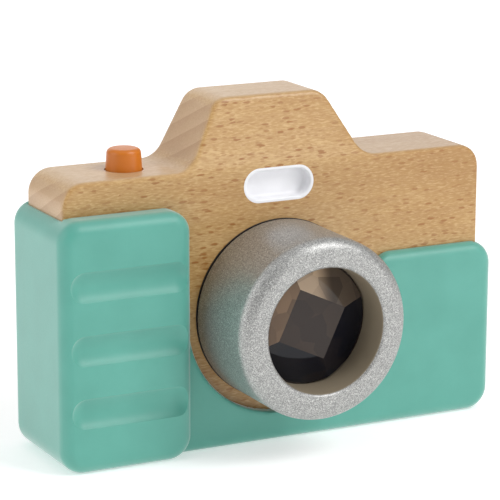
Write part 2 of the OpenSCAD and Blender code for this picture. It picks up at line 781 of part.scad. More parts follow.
module flash_led() {
    dome = flash_back + snug + led_r;
    color("lemonchiffon") translate([0, 0, flash_z]) {
        translate([0, dome, 0]) sphere(led_r);
        bar_y([0, 0], led_r, dome, socket_end + led_flange_t);
        bar_y([0, 0], led_flange_r, socket_end, socket_end + led_flange_t);
    }
}

// Wire from one lamp lead, down the duct and onto the board's face
module led_wire(side) {
    start = [side * lead_pitch, socket_end + led_flange_t, flash_z];
    lane = [0, side * wire_d * 0.85, 0];
    pad = [board_x1 - 1.4 + side * 0.72, board_face, board_z1 - 3];
    near_duct = duct_to - duct_dir * 2;
    tube([start, start + [0, 0.5, 0], start + [-0.3, 1.1, -0.1],
        duct_from + duct_dir * 4 + lane, near_duct + lane, near_duct + duct_dir * 2 + lane,
        pad + [0, -1.7, 1.8], pad + [0, -0.9, 0.3], pad + [0, -0.5, 0], pad],
        wire_d / 2, duct_side, 8);
}

module led_wires() {
    color("firebrick") for (side = [-1, 1]) led_wire(side);
}

// Tray: an open box with a cell bay below and posts for the board above
module module_tray() {
    x0 = tray_x0 + tray_wall;
    x1 = tray_x1 - tray_wall;
    z0 = tray_z0 + tray_wall;
    color("gainsboro") difference() {
        union() {
            difference() {
                span_box([tray_x0, tray_front, tray_z0], [tray_x1, cover_in, tray_z1]);
                span_box([x0, tray_floor, z0], [x1, cover_in + over, tray_z1 - tray_wall]);
            }
            span_box([x0, tray_floor, divider_z], [x1, cover_in, divider_z + divider_t]);
            for (x = [bay_x0 - bay_wall, bay_x1])
                span_box([x, tray_floor, z0], [x + bay_wall, cell_y + cell_r / 2, divider_z]);
            for (x = [pocket_x - boss_x, pocket_x + boss_x]) {
                bar_y([x, boss_z], boss_r, tray_floor, cover_in - snug);
                span_box([x - bay_wall / 2, tray_floor, z0], [x + bay_wall / 2, cell_y, cell_z + cell_r]);
            }
            for (post = posts) bar_y(post, post_r, tray_floor, board_face);
        }
        translate([bay_x0, cell_y, cell_z]) rotate([0, 90, 0]) cylinder(r = cell_r + snug / 2, h = bay_w);
        translate([button_x, 0, tray_z1 - tray_wall - over])
            cylinder(d = stem_d + 2 * room, h = tray_wall + 2 * over);
        span_box([duct_to.x - duct_d / 2, duct_y - duct_d / 2, board_z1 - duct_d],
            [tray_x1 + over, duct_y + duct_d / 2, tray_z1 + over]);
        for (x = [bay_x0, bay_x1 - leg_w])
            span_box([x - snug, board_back - snug, divider_z - over],
                [x + leg_w + snug, board_back + contact_t + snug, divider_z + divider_t + over]);
        for (x = [pocket_x - boss_x, pocket_x + boss_x])
            translate([x, cover_in, boss_z]) screw_hole(screw_d + 2 * snug, door_screw_len, 0);
        for (post = posts) translate([post.x, board_face, post.y])
            screw_hole(post_screw_d, post_screw_len, 0);
    }
}

module circuit_board() {
    color("darkgreen") difference() {
        span_box([board_x0, board_face, board_z0], [board_x1, board_back, board_z1]);
        for (post = posts) translate([post.x, board_back, post.y])
            screw_hole(post_screw_d, board_t + over, 0);
    }
}

module board_screws() {
    color("silver") for (post = posts) translate([post.x, board_back, post.y])
        screw(post_screw_d, board_t + post_screw_len - room);
}

// Piece of the given size in X, Y and Z, seated on the front of the board
module on_board(at, size) {
    translate([at.x - size.x / 2, board_face - size.y, at.y - size.z / 2]) cube(size);
}

module sound_chip() {
    color("black") on_board(chip_at, chip_size);
}

module capacitor() {
    color("midnightblue") bar_y(cap_at, cap_d / 2, board_face - cap_len, board_face);
}

module led_resistor() {
    color("tan") on_board(resistor_at, resistor_size);
}

module speaker() {
    color("dimgray") {
        bar_y([pocket_x, speaker_z], speaker_d / 2, cover_in - speaker_t / 2, cover_in);
        bar_y([pocket_x, speaker_z], speaker_d / 4, cover_in - speaker_t, cover_in);
    }
}

module speaker_wires() {
    rise = cover_in - speaker_t - board_back;
    color("firebrick") for (side = [-1, 1]) {
        foot = [pocket_x + side * 1.6, board_back, speaker_z - speaker_d / 4];
        tube([foot, foot + [0, rise * 0.2, 0], foot + [side * 0.3, rise * 0.4, 0.8],
            foot + [side * 0.3, rise * 0.6, 2.2], foot + [0, rise * 0.8, 3], foot + [0, rise, 3]],
            wire_d / 2, [1, 0, 0], 8);
    }
}

module button_cells() {
    color("silver") for (i = [0 : cell_n - 1])
        translate([bay_x1 - contact_t - i * cell_pitch, cell_y, cell_z]) rotate([0, -90, 0]) {
            cylinder(d = cell_d, h = cell_t - cell_step);
            cylinder(d = cell_cap_d, h = cell_t);
        }
}

// Contact plate against one end wall of the bay, with its leg soldered to the board's back
module contact_plate(wall_x, inward) {
    plate_r = cell_r * 0.7;
    top = cell_z + cell_r + room;
    function from_wall(t) = inward > 0 ? [wall_x, wall_x + t] : [wall_x - t, wall_x];
    sheet = from_wall(contact_t);
    leg = from_wall(leg_w);
    span_box([sheet[0], cell_y - plate_r, cell_z - plate_r], [sheet[1], cell_y + plate_r, top + contact_t]);
    span_box([leg[0], board_back, top], [leg[1], board_back + contact_t, leg_top]);
}

module battery_spring() {
    color("gold") {
        contact_plate(bay_x0, 1);
        translate([bay_x0, cell_y, cell_z]) rotate([0, 90, 0])
            tube(contact_path, contact_wire_d / 2, [0, 0, 1], 6);
    }
}

module battery_plate() {
    color("gold") contact_plate(bay_x1, -1);
}

// Outline of the back cover, grown by a clearance
module cover_outline(grow, from, to) {
    r = cover_corner_r + grow;
    along_y(from, to) rounded_rect(
        [pocket_x0 - cover_lip - grow, pocket_z0 - cover_end_lip - grow],
        [pocket_x1 + cover_lip + grow, pocket_z1 + cover_end_lip + grow], [r, r, r, r]);
}

// Outline of the battery door, drawn in by an inset
module door_outline(inset, from, to) {
    r = cover_corner_r;
    along_y(from, to)
        rounded_rect([door_x0 + inset, door_z0 + inset], [door_x1 - inset, door_z1 - inset], [r, r, r, r]);
}

module back_cover() {
    step = wood_back - cover_t / 2;
    color("gainsboro") difference() {
        union() {
            cover_outline(0, cover_in, wood_back);
            difference() {
                bar_y([pocket_x, speaker_z], speaker_d / 2 + snug + rim_wall,
                    cover_in - rim_depth, cover_in + snug);
                bar_y([pocket_x, speaker_z], speaker_d / 2 + snug, cover_in - rim_depth - over, cover_in);
            }
        }
        door_outline(-door_gap, step, wood_back + over);
        door_outline(door_step - door_gap, cover_in - over, wood_back);
        at_cover_screws() screw_hole(screw_d, cover_t, cover_t);
        bar_y([pocket_x, speaker_z], speaker_hole_d / 2, cover_in - over, wood_back + over);
        for (i = [0 : sound_holes - 1])
            bar_y([pocket_x + speaker_hole_r * cos(i * 360 / sound_holes),
                speaker_z + speaker_hole_r * sin(i * 360 / sound_holes)],
                speaker_hole_d / 2, cover_in - over, wood_back + over);
    }
}

module back_cover_screws() {
    color("silver") at_cover_screws() screw(screw_d, cover_screw_len);
}

// Where the battery door's two screws go
module at_door_screws() {
    for (side = [-1, 1]) translate([pocket_x + side * boss_x, wood_back - head_t(screw_d) - snug, boss_z])
        children();
}

module battery_door() {
    color("gainsboro") difference() {
        union() {
            door_outline(0, wood_back - cover_t / 2, wood_back);
            door_outline(door_step, cover_in, wood_back);
        }
        at_door_screws() screw_hole(screw_d, cover_t, cover_t);
    }
}

module battery_door_screws() {
    color("silver") at_door_screws() screw(screw_d, door_screw_len);
}

wood_body();
silicone_sleeve();
shutter_button();
button_spring();
push_switch();
switch_plunger();
lens_barrel();
prism_lens();
lens_spacer();
barrel_hub();
hub_screws();
bearing_bush();
friction_washer();
barrel_retainer();
retainer_screws();
eyepiece_ring();
eyepiece_window();
flash_window();
flash_led();
led_wires();
module_tray();
circuit_board();
board_screws();
sound_chip();
capacitor();
led_resistor();
speaker();
speaker_wires();
button_cells();
battery_spring();
battery_plate();
back_cover();
back_cover_screws();
battery_door();
battery_door_screws();
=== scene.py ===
"""Wooden toy camera: the finish of every piece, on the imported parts' own frame, in metres.

Shapes are worked out in millimetres: X to the right, Y to the back, Z up, base at zero.
"""

import bpy
import numpy as np
from mathutils import Matrix, Vector


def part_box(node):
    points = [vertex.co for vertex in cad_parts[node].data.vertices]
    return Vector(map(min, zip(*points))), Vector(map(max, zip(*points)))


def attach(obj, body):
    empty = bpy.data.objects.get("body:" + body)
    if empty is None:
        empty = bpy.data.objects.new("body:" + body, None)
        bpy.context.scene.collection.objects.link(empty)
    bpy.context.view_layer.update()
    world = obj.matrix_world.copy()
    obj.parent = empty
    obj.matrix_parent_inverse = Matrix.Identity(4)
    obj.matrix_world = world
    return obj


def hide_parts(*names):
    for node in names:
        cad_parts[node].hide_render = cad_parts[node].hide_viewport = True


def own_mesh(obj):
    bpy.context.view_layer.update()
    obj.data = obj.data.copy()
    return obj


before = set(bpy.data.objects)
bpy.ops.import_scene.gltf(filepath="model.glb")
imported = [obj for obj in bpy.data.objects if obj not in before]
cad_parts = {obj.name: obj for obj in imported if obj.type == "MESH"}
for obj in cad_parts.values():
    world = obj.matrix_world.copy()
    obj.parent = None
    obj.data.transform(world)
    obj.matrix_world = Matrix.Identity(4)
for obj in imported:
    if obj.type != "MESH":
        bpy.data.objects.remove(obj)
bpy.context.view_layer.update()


# Beech block: one piece of beech, routed to its outline, its hump planed to lean back, its edges
# sanded round and the whole given a thin satin varnish. All other pieces are let into it.
MM = 0.001


def span(part):
    """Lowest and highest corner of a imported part, in millimetres."""
    return [np.array(corner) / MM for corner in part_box(part)]


(_, _, WOOD_FOOT), (WOOD_SIDE, WOOD_FACE, HUMP_Z) = span("wood_body")
SHOULDER_Z = 77.2
HUMP_TOP_X = 16.2
HUMP_FOOT_X = 26.4
HUMP_LEAN = 5.8
WOOD_EDGE_R = 1.0
LENS_Z = 37.0
BUSH_BORE_R = 15.05
EYEPIECE_SEAT_R = 16.0
EYEPIECE_SEAT_DEEP = 8.0
BUTTON_X = -40.5
BUTTON_BORE_R = 5.25
SPRING_ROOM_R = 7.1
SPRING_ROOM_TOP = 71.2
POCKET_X = -45.0
POCKET_HALF = 13.25
COVER_HALF = 15.95
COVER_DEEP = 2.0
COVER_SCREW_X = 9.25
FLASH_Z = 71.6
FLASH_W = 21.3
FLASH_H = 9.6
FLASH_DEEP = 8.7
LAMP_ROOM_R = 4.1
DUCT_FROM = np.array([0, 0.5, FLASH_Z])
DUCT_TO = np.array([-33.95, 0.5, 59.6])
DUCT_R = 2.0
CLEAR = 20.0
GRID_PITCH = 0.75
CIRCLE = 96


def rounded_outline(corners, radii, steps=10):
    """Closed outline whose corners give way to arcs that touch both edges: an arc's middle lies on
    the corner's bisector, its radius over the sine of half the corner's angle away."""
    corner, radius = np.array(corners, float), np.array(radii, float)[:, None]
    back, ahead = np.roll(corner, 1, 0) - corner, np.roll(corner, -1, 0) - corner
    back /= np.linalg.norm(back, axis=1, keepdims=True)
    ahead /= np.linalg.norm(ahead, axis=1, keepdims=True)
    half = np.arccos(np.sum(back * ahead, 1, keepdims=True)) / 2
    bisector = (back + ahead) / np.linalg.norm(back + ahead, axis=1, keepdims=True)
    middle = corner + bisector * radius / np.sin(half)
    start = corner + back * radius / np.tan(half) - middle
    side = np.sign(ahead[:, :1] * back[:, 1:] - ahead[:, 1:] * back[:, :1])
    turn = side * (np.pi - 2 * half) * np.linspace(0, 1, steps)
    arcs = np.stack([start[:, :1] * np.cos(turn) - start[:, 1:] * np.sin(turn),
                     start[:, :1] * np.sin(turn) + start[:, 1:] * np.cos(turn)], 2)
    points = (middle[:, None] + arcs).reshape(-1, 2)
    return points[np.linalg.norm(points - np.roll(points, 1, 0), axis=1) > 1e-6]


def outline_distance(x, z, outline):
    """Signed distance to a closed outline: the least distance to any of its edges, negative where
    a line to the right crosses the outline an odd number of times."""
    least = np.full(np.broadcast_shapes(x.shape, z.shape), np.inf)
    inside = np.zeros(least.shape, bool)
    for (ax, az), (bx, bz) in zip(outline, np.roll(outline, -1, 0)):
        dx, dz = bx - ax, bz - az
        along = np.clip(((x - ax) * dx + (z - az) * dz) / (dx * dx + dz * dz), 0, 1)
        least = np.minimum(least, np.hypot(x - ax - along * dx, z - az - along * dz))
        if dz:
            inside ^= ((az > z) != (bz > z)) & (x < ax + (z - az) * dx / dz)
    return np.where(inside, -least, least)


def rounded_meet(a, b, r):
    """Distance to what two solids share, with their common edge rounded: a quarter circle of
    radius r stands where both distances are above -r."""
    return np.minimum(np.maximum(a + r, b + r), 0) + np.hypot(
        np.maximum(a + r, 0), np.maximum(b + r, 0)) - r


def zero_surface(distance, low, high):
    """Points and quads of a distance function's zero surface: one point in each grid cell that the
    surface passes through, drawn onto it along the gradient, and one quad across each grid edge."""
    axes = [np.arange(a, b + GRID_PITCH, GRID_PITCH) for a, b in zip(low, high)]
    inside = distance(*np.ix_(*axes)) < 0
    corners = [inside[i:i - 1 or None, j:j - 1 or None, k:k - 1 or None]
               for i in (0, 1) for j in (0, 1) for k in (0, 1)]
    mixed = np.any(corners, 0) & ~np.all(corners, 0)
    number = np.full(mixed.shape, -1)
    number[mixed] = np.arange(mixed.sum())
    point = np.array(low) + (np.argwhere(mixed) + 0.5) * GRID_PITCH
    for _ in range(5):
        step = 0.02 * np.eye(3)
        slope = np.stack([distance(*(point + s).T) - distance(*(point - s).T) for s in step], 1) / 0.04
        away = distance(*point.T) / np.maximum(np.sum(slope ** 2, 1), 0.1)
        point = point - np.clip(away, -0.6, 0.6)[:, None] * slope
    quads = []
    for axis in range(3):
        u, v = np.roll(np.eye(3, dtype=int), -axis - 1, 0)[:2]
        first = np.moveaxis(np.moveaxis(inside, axis, 0)[:-1], 0, axis)
        crossed = np.argwhere(first != np.moveaxis(np.moveaxis(inside, axis, 0)[1:], 0, axis))
        ring = np.stack([number[tuple((crossed - s).T)] for s in (u + v, v, 0 * u, u)], 1)
        outward = first[tuple(crossed.T)]
        quads.append(np.where(outward[:, None], ring, ring[:, ::-1]))
    return point, np.concatenate(quads)


def mesh_piece(name, points, faces):
    """Object at the origin with its place in its mesh, from points in millimetres, smooth all over."""
    mesh = bpy.data.meshes.new(name)
    mesh.from_pydata((np.asarray(points) * MM).tolist(), [], [list(f) for f in faces])
    mesh.validate()
    mesh.shade_smooth()
    piece = bpy.data.objects.new(name, mesh)
    bpy.context.scene.collection.objects.link(piece)
    return piece


def grid_faces(rows, columns, close_rows=False):
    """Quads of a grid whose columns run round: each joins a point, the next round, and the two
    that follow along the rows."""
    i, j = np.meshgrid(np.arange(rows if close_rows else rows - 1), np.arange(columns), indexing="ij")
    here, there = i * columns, (i + 1) % rows * columns
    after = (j + 1) % columns
    return np.stack([here + j, here + after, there + after, there + j], 2).reshape(-1, 4).tolist()


def loft(rings):
    """Closed surface through rings of like count, with a flat cap on the first and last. Seen from
    ahead of the path, the rings run anticlockwise."""
    rings = np.asarray(rings, float)
    rows, columns = rings.shape[:2]
    caps = [list(range(columns - 1, -1, -1)), list(range((rows - 1) * columns, rows * columns))]
    return rings.reshape(-1, 3), grid_faces(rows, columns) + caps


def across(outline, y):
    """Outline in X and Z stood at a depth, as a ring that runs anticlockwise seen from the back."""
    outline = np.asarray(outline, float)
    area = np.sum(outline[:, 0] * np.roll(outline[:, 1], -1) - outline[:, 1] * np.roll(outline[:, 0], -1))
    if area > 0:
        outline = outline[::-1]
    return np.insert(outline, 1, y, 1)


def round_bar(x, z, r, front, back):
    """Straight bar along Y: one circle at its front and one at its back."""
    turn = np.linspace(0, 2 * np.pi, CIRCLE, endpoint=False)
    circle = np.stack([x + r * np.cos(turn), z + r * np.sin(turn)], 1)
    return loft([across(circle, front), across(circle, back)])


def prism(outline, front, back):
    """Outline in X and Z carried straight back."""
    return loft([across(outline, front), across(outline, back)])


def box_outline(x0, z0, x1, z1, r=0.0):
    """Rectangle with round corners."""
    return rounded_outline([(x0, z0), (x1, z0), (x1, z1), (x0, z1)], [r] * 4)


def pill_outline(w, h, z):
    """Two half circles joined by straight sides, about X zero."""
    turn = np.linspace(-np.pi / 2, np.pi / 2, CIRCLE // 2)
    half = np.stack([(w - h) / 2 + h / 2 * np.cos(turn), z + h / 2 * np.sin(turn)], 1)
    return np.concatenate([half, half[::-1] * [-1, 1]])


def cut(piece, *tools, how="DIFFERENCE"):
    """Takes each closed shape out of a piece, then keeps edges sharper than 35 degrees crisp."""
    for points, faces in tools:
        tool = mesh_piece("tool", points, faces)
        carve = piece.modifiers.new("carve", "BOOLEAN")
        carve.operation, carve.solver, carve.object = how, "MANIFOLD", tool
        shaped = bpy.data.meshes.new_from_object(
            piece.evaluated_get(bpy.context.evaluated_depsgraph_get()))
        piece.modifiers.clear()
        piece.data = shaped
        bpy.data.objects.remove(tool)
    piece.data.shade_smooth()
    piece.data.set_sharp_from_angle(angle=np.radians(35))


WOOD_OUTLINE = rounded_outline(
    [(-WOOD_SIDE, WOOD_FOOT), (WOOD_SIDE, WOOD_FOOT), (WOOD_SIDE, SHOULDER_Z), (HUMP_FOOT_X, SHOULDER_Z),
     (HUMP_TOP_X, HUMP_Z), (-HUMP_TOP_X, HUMP_Z), (-HUMP_FOOT_X, SHOULDER_Z), (-WOOD_SIDE, SHOULDER_Z)],
    [0, 0, 6.5, 7, 6, 6, 7, 6.5])


def wood_distance(x, y, z):
    """Front outline carried through the depth, behind the upright face and the leaning one, with
    all edges between them sanded to one radius."""
    rise = HUMP_Z - SHOULDER_Z
    lean = (HUMP_LEAN * (z - SHOULDER_Z) / rise - WOOD_FACE - y) / np.hypot(1, HUMP_LEAN / rise)
    depth = np.maximum(np.maximum(-WOOD_FACE - y, lean), y - WOOD_FACE)
    return rounded_meet(outline_distance(x, z, WOOD_OUTLINE), depth, WOOD_EDGE_R)


def upright_bar(x, r, low, high):
    """Straight bar along Z on the block's middle."""
    turn = np.linspace(0, 2 * np.pi, CIRCLE, endpoint=False)
    circle = np.stack([x + r * np.cos(turn), r * np.sin(turn)], 1)
    return loft([np.insert(circle, 2, low, 1), np.insert(circle, 2, high, 1)])


def tube(path, r, reference, sides=16):
    """Round profile carried along a path: at each point it stands square to the path's heading,
    turned from the heading's cross product with a reference direction."""
    path = np.asarray(path, float)
    heading = np.gradient(path, axis=0)
    heading /= np.linalg.norm(heading, axis=1, keepdims=True)
    across_path = np.cross(heading, reference)
    across_path /= np.linalg.norm(across_path, axis=1, keepdims=True)
    other = np.cross(heading, across_path)
    turn = np.linspace(0, 2 * np.pi, sides, endpoint=False)[:, None, None]
    return loft(np.moveaxis(path + r * (np.cos(turn) * across_path + np.sin(turn) * other), 0, 1))


wood = mesh_piece("beech_block", *zero_surface(
    wood_distance, (-66.3, -15.4, 0.6), (66.3, 15.4, 98.2)))
cut(wood,
    round_bar(0, LENS_Z, BUSH_BORE_R, -CLEAR, CLEAR),
    round_bar(0, LENS_Z, EYEPIECE_SEAT_R, WOOD_FACE - EYEPIECE_SEAT_DEEP, CLEAR),
    upright_bar(BUTTON_X, BUTTON_BORE_R, 66, 90),
    upright_bar(BUTTON_X, SPRING_ROOM_R, 59, SPRING_ROOM_TOP),
    prism(box_outline(POCKET_X - POCKET_HALF, 10.0, POCKET_X + POCKET_HALF, 60.2), -5.2, CLEAR),
    prism(box_outline(POCKET_X - COVER_HALF, 5.4, POCKET_X + COVER_HALF, 64.8, 2.2),
          WOOD_FACE - COVER_DEEP, CLEAR),
    prism(pill_outline(FLASH_W, FLASH_H, FLASH_Z), -CLEAR, FLASH_DEEP - WOOD_FACE),
    round_bar(0, FLASH_Z, LAMP_ROOM_R, -10, 2.5),
    tube([DUCT_FROM, DUCT_TO], DUCT_R, (0, 1, 0), 48),
    *[round_bar(POCKET_X + side * COVER_SCREW_X, z, 0.9, WOOD_FACE - 7.18, 11)
      for side in (-1, 1) for z in (7.8, 62.4)])


def material(name, **sockets):
    """Principled material; each plain setting stands on the shader's own socket."""
    made = bpy.data.materials.new(name)
    made.use_nodes = True
    set_sockets(made, made.node_tree.nodes["Principled BSDF"], sockets)
    return made


def set_sockets(made, shader, sockets):
    """Links a socket where the value is one, and sets it otherwise. A name has _ for each space, and
    _ with a number is the socket of that number."""
    for key, value in sockets.items():
        socket = shader.inputs[int(key[1:]) if key[1:].isdigit() else key.replace("_", " ")]
        if isinstance(value, bpy.types.NodeSocket):
            made.node_tree.links.new(value, socket)
        else:
            socket.default_value = value


def node(made, kind, settings=None, **sockets):
    """One shader node's first output."""
    new = made.node_tree.nodes.new("ShaderNode" + kind)
    for key, value in (settings or {}).items():
        setattr(new, key, value)
    set_sockets(made, new, sockets)
    return new.outputs[0]


def shade(made, **sockets):
    """Sockets of a material's Principled shader."""
    set_sockets(made, made.node_tree.nodes["Principled BSDF"], sockets)


def where(made, scale, turn=(0, 0, 0)):
    """Object coordinates, turned, then scaled along each axis."""
    place = made.node_tree.nodes.new("ShaderNodeTexCoord").outputs["Object"]
    return node(made, "Mapping", Vector=place, Scale=scale, Rotation=turn)


def noise(made, scale, detail=2.0, rough=0.5, turn=(0, 0, 0)):
    """Smooth noise from 0 to 1; a scale of 1000 gives marks of about a millimetre."""
    return node(made, "TexNoise", Vector=where(made, scale, turn), Scale=1.0, Detail=detail,
                Roughness=rough)


def steep(made, value, low, high, to_low=0.0, to_high=1.0):
    """Smooth step of a value between two limits."""
    return node(made, "MapRange", {"interpolation_type": "SMOOTHSTEP"}, Value=value,
                From_Min=low, From_Max=high, To_Min=to_low, To_Max=to_high)


def blend(made, amount, a, b, how="MIX"):
    """Mix of two colours by an amount."""
    mix = made.node_tree.nodes.new("ShaderNodeMix")
    mix.data_type, mix.blend_type = "RGBA", how
    set_sockets(made, mix, {"_0": amount, "_6": a, "_7": b})
    return mix.outputs[2]


def tones(made, value, stops):
    """Colour ramp through (place, colour) stops."""
    ramp = made.node_tree.nodes.new("ShaderNodeValToRGB")
    made.node_tree.links.new(value, ramp.inputs[0])
    elements = ramp.color_ramp.elements
    while len(elements) < len(stops):
        elements.new(0.5)
    for element, (place, colour) in zip(elements, stops):
        element.position, element.color = place, colour
    return ramp.outputs[0]


def relief(made, height, depth):
    """Bump of a depth in millimetres."""
    return node(made, "Bump", Height=height, Strength=1.0, Distance=depth * MM)


def paint(*channels):
    """Colour from a 0 to 255 reading, as the shader takes it."""
    level = np.array(channels) / 255
    return (*np.where(level < 0.04045, level / 12.92, ((level + 0.055) / 1.055) ** 2.4), 1.0)


def sum_of(made, how, a, b):
    """Arithmetic on two values."""
    return node(made, "Math", {"operation": how}, _0=a, _1=b)


def facing(made, axis):
    """How far a surface faces along an axis of its own piece, from -1 to 1."""
    coordinates = made.node_tree.nodes.new("ShaderNodeTexCoord")
    parts = made.node_tree.nodes.new("ShaderNodeSeparateXYZ")
    made.node_tree.links.new(coordinates.outputs["Normal"], parts.inputs[0])
    return parts.outputs[axis]


beech = material("beech", Coat_Weight=0.4, Coat_Roughness=0.25)
broad = noise(beech, (14, 30, 60), 3.0)
wood_tone = tones(beech, broad, [
    (0.3, paint(172, 129, 71)), (0.5, paint(188, 148, 90)), (0.7, paint(202, 166, 112))])
rings = node(beech, "TexWave", {"bands_direction": "Z", "wave_profile": "SAW"},
             Vector=where(beech, (0.3, 1, 1), (0.48, 0, 0)), Scale=66.0, Distortion=1.6, Detail=2.0,
             Detail_Scale=0.5)
fibre = noise(beech, (560, 2600, 2600), 3.0, 0.6, (0, 0.1, 0))
wood_tone = blend(beech, steep(beech, fibre, 0.46, 0.66, 0.0, 0.34), wood_tone, paint(166, 116, 56))
wood_tone = blend(beech, steep(beech, fibre, 0.5, 0.34, 0.0, 0.3), wood_tone, paint(228, 194, 142))


def flecks(length, width, least, most):
    """Short dark ray marks: long thin cells, drawn in to a blurred middle, some kept by chance."""
    wander = node(beech, "TexNoise", Vector=where(beech, (500, 900, 900)), Scale=1.0, Detail=2.0)
    place = where(beech, (1 / (length * MM), 1 / (width * MM), 1 / (width * MM)), (0, 0.06, 0))
    shaken = node(beech, "VectorMath", {"operation": "ADD"}, _0=place,
                  _1=node(beech, "VectorMath", {"operation": "SCALE"}, _0=wander, Scale=0.5))
    cells = beech.node_tree.nodes.new("ShaderNodeTexVoronoi")
    set_sockets(beech, cells, {"Vector": shaken, "Scale": 1.0, "Randomness": 1.0})
    chance = node(beech, "SeparateColor", _0=cells.outputs["Color"])
    return sum_of(beech, "MULTIPLY", steep(beech, cells.outputs["Distance"], 0.44, 0.24),
                  steep(beech, chance, least, most))


face_grain = steep(beech, sum_of(beech, "ABSOLUTE", facing(beech, 1), 0.0), 0.5, 0.95, 0.1, 1.0)
dense = steep(beech, noise(beech, (26, 26, 60), 2.0), 0.35, 0.65, 0.55, 0.95)
fleck = sum_of(beech, "MAXIMUM", flecks(3.4, 1.0, 0.4, 0.85),
               sum_of(beech, "MULTIPLY", flecks(2.2, 0.7, 0.3, 0.95), 0.5))
fleck = sum_of(beech, "MULTIPLY", sum_of(beech, "MULTIPLY", fleck, dense), face_grain)
wood_tone = blend(beech, fleck, wood_tone, paint(152, 94, 26))
# Painted highlight: surfaces that face up are blended towards a pale cream, standing in for the light that
# falls on them from above.
top_painted_highlight = steep(beech, facing(beech, 2), 0.7, 0.97, 0.0, 0.4)
wood_tone = blend(beech, top_painted_highlight, wood_tone, paint(206, 180, 152))
# The end faces are the block's end grain, but the pale cream they are blended towards is painted light,
# standing in for the light that falls on the block's sides.
end_grain_painted_light = steep(beech, sum_of(beech, "ABSOLUTE", facing(beech, 0), 0.0), 0.55, 0.9, 0.0, 0.55)
wood_tone = blend(beech, end_grain_painted_light, wood_tone, paint(208, 180, 152))
ring_show = steep(beech, sum_of(beech, "ABSOLUTE", facing(beech, 0), 0.0), 0.4, 0.9, 0.12, 0.38)
wood_tone = blend(beech, sum_of(beech, "MULTIPLY", rings, ring_show), wood_tone, paint(158, 112, 68))
shade(beech, Base_Color=wood_tone, Roughness=steep(beech, fibre, 0.3, 0.7, 0.4, 0.55),
      Normal=relief(beech, sum_of(beech, "ADD", fibre, fleck), 0.03))


def fit(piece, finish, body, slot, *nodes):
    """Gives a piece its finish and its body, and hides the parts that it stands for. The slot is not used.
    """
    piece.data.materials.clear()
    piece.data.materials.append(finish)
    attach(piece, body)
    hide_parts(*nodes)


fit(wood, beech, "body", "beech", "wood_body")


# Silicone sleeve: a moulded skin stretched over the block from below, with a thick scooped grip in
# front of the electronics and open windows for the lens, the eyepiece and the battery door.
(_, GRIP_FACE, _), (SLEEVE_SIDE, SLEEVE_FACE, GRIP_TOP) = span("silicone_sleeve")
PANEL_TOP = 49.4
GRIP_RIGHT = -29.2
CORNER_R = 6.5
SHOULDER_R = 6.0
SLEEVE_EDGE_R = 3.2
GRIP_EDGE_R = 3.6
LENS_WINDOW_R = 28.6
EYE_WINDOW_R = 21.0
LIP_R = 0.9
SCOOP_R = 5.8
SCOOP_AHEAD = 4.0
SCOOP_HEIGHTS = (16.9, 34.0, 51.1)


def rounded_box(x, z, low, high, low_r, high_r):
    """Distance to a rectangle, less its corner radius, which differs above and below its middle."""
    middle, half = np.add(low, high) / 2, np.subtract(high, low) / 2
    r = np.where(z > middle[1], high_r, low_r)
    return rounded_meet(np.abs(x - middle[0]) - half[0], np.abs(z - middle[1]) - half[1], r)


def rounded_join(a, b, r):
    """Distance to two solids together, with a hollow quarter circle of radius r where they meet."""
    return np.maximum(np.minimum(a, b), r) - np.hypot(np.maximum(r - a, 0), np.maximum(r - b, 0))


def open_window(x, z, r, left):
    """Round-footed opening that runs on upwards; its left side slants out to meet the grip."""
    edge = np.where(x < 0, r + (left - r) * np.clip((z - LENS_Z) / (PANEL_TOP - LENS_Z), 0, 1), r)
    return np.where(z > LENS_Z, np.abs(x) - edge, np.hypot(x, z - LENS_Z) - r)


def corner_waste(x, z, corner_x, corner_z, r, side):
    """What is trimmed off outside a round shoulder: the square of its corner, less its circle."""
    away = (x - corner_x) * side
    square = np.maximum(np.abs(away) - r, corner_z - r - z)
    return np.maximum(square, r - np.hypot(away - r, z - corner_z + r))


